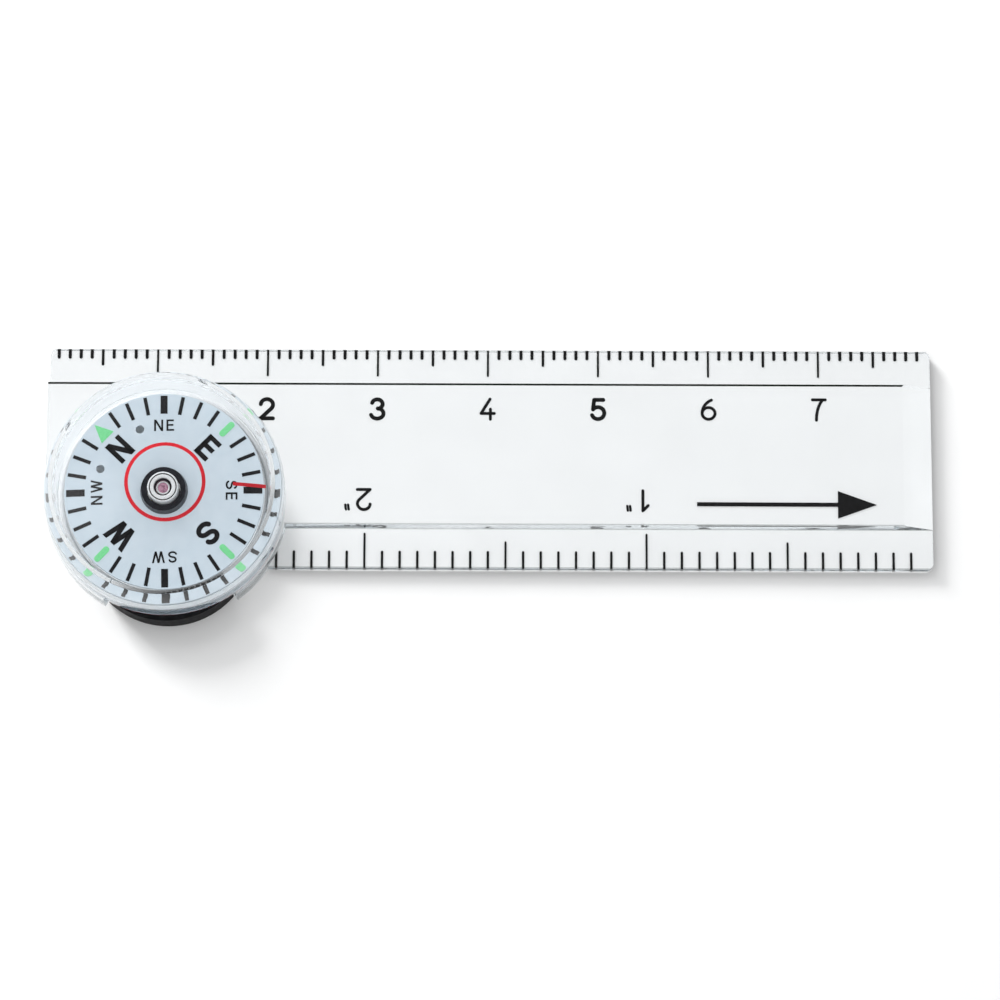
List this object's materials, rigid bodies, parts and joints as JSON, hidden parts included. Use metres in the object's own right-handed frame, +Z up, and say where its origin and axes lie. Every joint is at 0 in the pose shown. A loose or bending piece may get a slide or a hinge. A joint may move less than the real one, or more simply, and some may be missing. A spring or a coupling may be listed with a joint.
{
  "type": "ruler compass",
  "caption": "Clear plastic scale ruler with a domed, liquid-filled compass capsule whose card turns and tilts on a jewelled pivot.",
  "frame": {"origin": "on the capsule's vertical pivot axis, at the underside that rests on the map", "axes": "+X along the ruler in the direction of its arrow, +Y towards the centimetre edge, +Z up"},
  "size_m": [0.0798, 0.0255, 0.0099],
  "materials": {
    "clear_plastic": "polished",
    "black_fill": "satin",
    "clear_dome": "polished",
    "red_ink": "satin",
    "black_base": "semi gloss",
    "pale_base": "satin",
    "seal_rubber": "matte",
    "plug_rubber": "matte",
    "steel": "polished",
    "brass": "turned",
    "ruby": "polished",
    "bright_metal": "turned",
    "black_hub": "semi gloss",
    "white_card": "matte",
    "black_ink": "satin",
    "green_lume": "matte",
    "magnet": "sintered"
  },
  "bodies": {
    "baseplate": {"ruler": "clear_plastic", "cm_scale": "black_fill", "inch_scale": "black_fill", "direction_arrow": "black_fill", "capsule_housing": "clear_dome", "index_marks": "red_ink", "mouth_band": "black_base", "capsule_base": "pale_base", "capsule_seal": "seal_rubber", "fill_plug": "plug_rubber", "pivot_pin": "steel", "pivot_bush": "brass"},
    "jewel": {"jewel_cup": "ruby"},
    "setting": {"jewel_setting": "bright_metal"},
    "card": {"card_hub": "black_hub", "compass_card": "white_card", "card_ticks": "black_ink", "luminous_marks": "green_lume", "ring_magnet": "magnet"}
  },
  "joints": [
    {"name": "card_turn", "type": "hinge", "parent": "baseplate", "child": "jewel", "pos_m": [0, 0, 0.0049], "axis": [0, 0, 1], "continuous": true},
    {"name": "card_dip_x", "type": "hinge", "parent": "jewel", "child": "setting", "pos_m": [0, 0, 0.0049], "axis": [1, 0, 0], "range_deg": [-2.5, 2.5]},
    {"name": "card_dip_y", "type": "hinge", "parent": "setting", "child": "card", "pos_m": [0, 0, 0.0049], "axis": [0, 1, 0], "range_deg": [-2.5, 2.5]}
  ]
}
